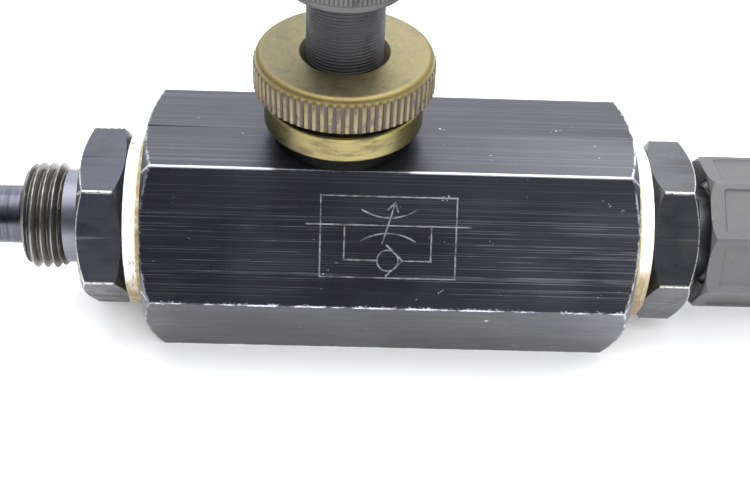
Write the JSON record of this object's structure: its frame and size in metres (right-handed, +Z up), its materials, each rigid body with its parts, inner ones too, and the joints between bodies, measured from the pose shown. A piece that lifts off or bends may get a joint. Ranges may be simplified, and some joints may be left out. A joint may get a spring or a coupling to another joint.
{
  "type": "flow control valve",
  "caption": "In-line throttle and check valve in a black hexagonal body, with hose adapters at both ends, a fine-thread stem, brass lock rings and a knurled knob.",
  "frame": {"origin": "centre of the body's bottom flat, under the middle of the bar", "axes": "+X along the flow from the inlet adapter to the outlet adapter with the union nut, +Z up along the stem from the bottom flat to the knob"},
  "size_m": [0.1345, 0.0392, 0.078],
  "materials": {
    "black_anodised": "black anodised, drawn bar, worn bright along its edges",
    "black_steel": "blackened steel, turned",
    "nipple_steel": "turned and blackened, half gloss",
    "brass": "turned brass, tarnished",
    "old_brass": "knurled brass, dull and darkened in its grooves",
    "washer_plastic": "white nylon, stained at its edges",
    "nut_plastic": "moulded black plastic",
    "knob_steel": "grey steel, knurled",
    "bright_steel": "ground",
    "rubber": "black nitrile"
  },
  "bodies": {
    "housing": {"body": "black_anodised", "inlet_adapter": "black_steel", "outlet_adapter": "black_steel", "inlet_washer": "washer_plastic", "outlet_washer": "washer_plastic", "inlet_nipple": "nipple_steel", "outlet_nipple": "nipple_steel", "bonnet": "brass", "bonnet_spacer": "black_steel", "bonnet_oring": "rubber", "needle_oring": "rubber", "backup_ring": "washer_plastic", "throttle_seat": "brass", "check_seat": "brass", "check_spring": "bright_steel", "spring_retainer": "brass", "retaining_ring": "bright_steel"},
    "needle": {"needle": "bright_steel"},
    "spindle": {"spindle": "black_steel", "swivel_clip": "bright_steel", "knob": "knob_steel", "knob_screw": "black_steel"},
    "lock_washer": {"lock_washer": "black_steel"},
    "lock_nut": {"lock_nut": "old_brass"},
    "clamp_ring": {"clamp_ring": "bright_steel"},
    "union_nut": {"union_nut": "nut_plastic"},
    "check_ball": {"check_ball": "bright_steel"}
  },
  "joints": [
    {"name": "needle_lift", "type": "slide", "parent": "housing", "child": "needle", "axis": [0, 0, 1], "range_m": [-0.003, 0.001]},
    {"name": "spindle_turn", "type": "hinge", "parent": "needle", "child": "spindle", "pos_m": [-0.007, 0, 0.05], "axis": [0, 0, 1], "range_deg": [-2160, 720]},
    {"name": "lock_washer_lift", "type": "slide", "parent": "housing", "child": "lock_washer", "axis": [0, 0, 1], "range_m": [0, 0.004]},
    {"name": "lock_nut_turn", "type": "hinge", "parent": "lock_washer", "child": "lock_nut", "pos_m": [-0.007, 0, 0.044], "axis": [0, 0, 1], "range_deg": [0, 2880]},
    {"name": "clamp_ring_shift", "type": "slide", "parent": "housing", "child": "clamp_ring", "axis": [1, 0, 0], "range_m": [0, 0.006]},
    {"name": "union_nut_turn", "type": "hinge", "parent": "clamp_ring", "child": "union_nut", "pos_m": [0.055, 0, 0.017], "axis": [1, 0, 0], "range_deg": [0, 1440]},
    {"name": "check_lift", "type": "slide", "parent": "housing", "child": "check_ball", "axis": [-1, 0, 0], "range_m": [0, 0.0018], "stiffness_N_per_m": 150, "springref_m": -0.002, "deforming": ["check_spring"]}
  ],
  "couplings": [
    {"joint": "spindle_turn", "follows": "needle_lift", "rad_per_m": 12566},
    {"joint": "lock_nut_turn", "follows": "lock_washer_lift", "rad_per_m": 12566},
    {"joint": "union_nut_turn", "follows": "clamp_ring_shift", "rad_per_m": 4188.7}
  ]
}
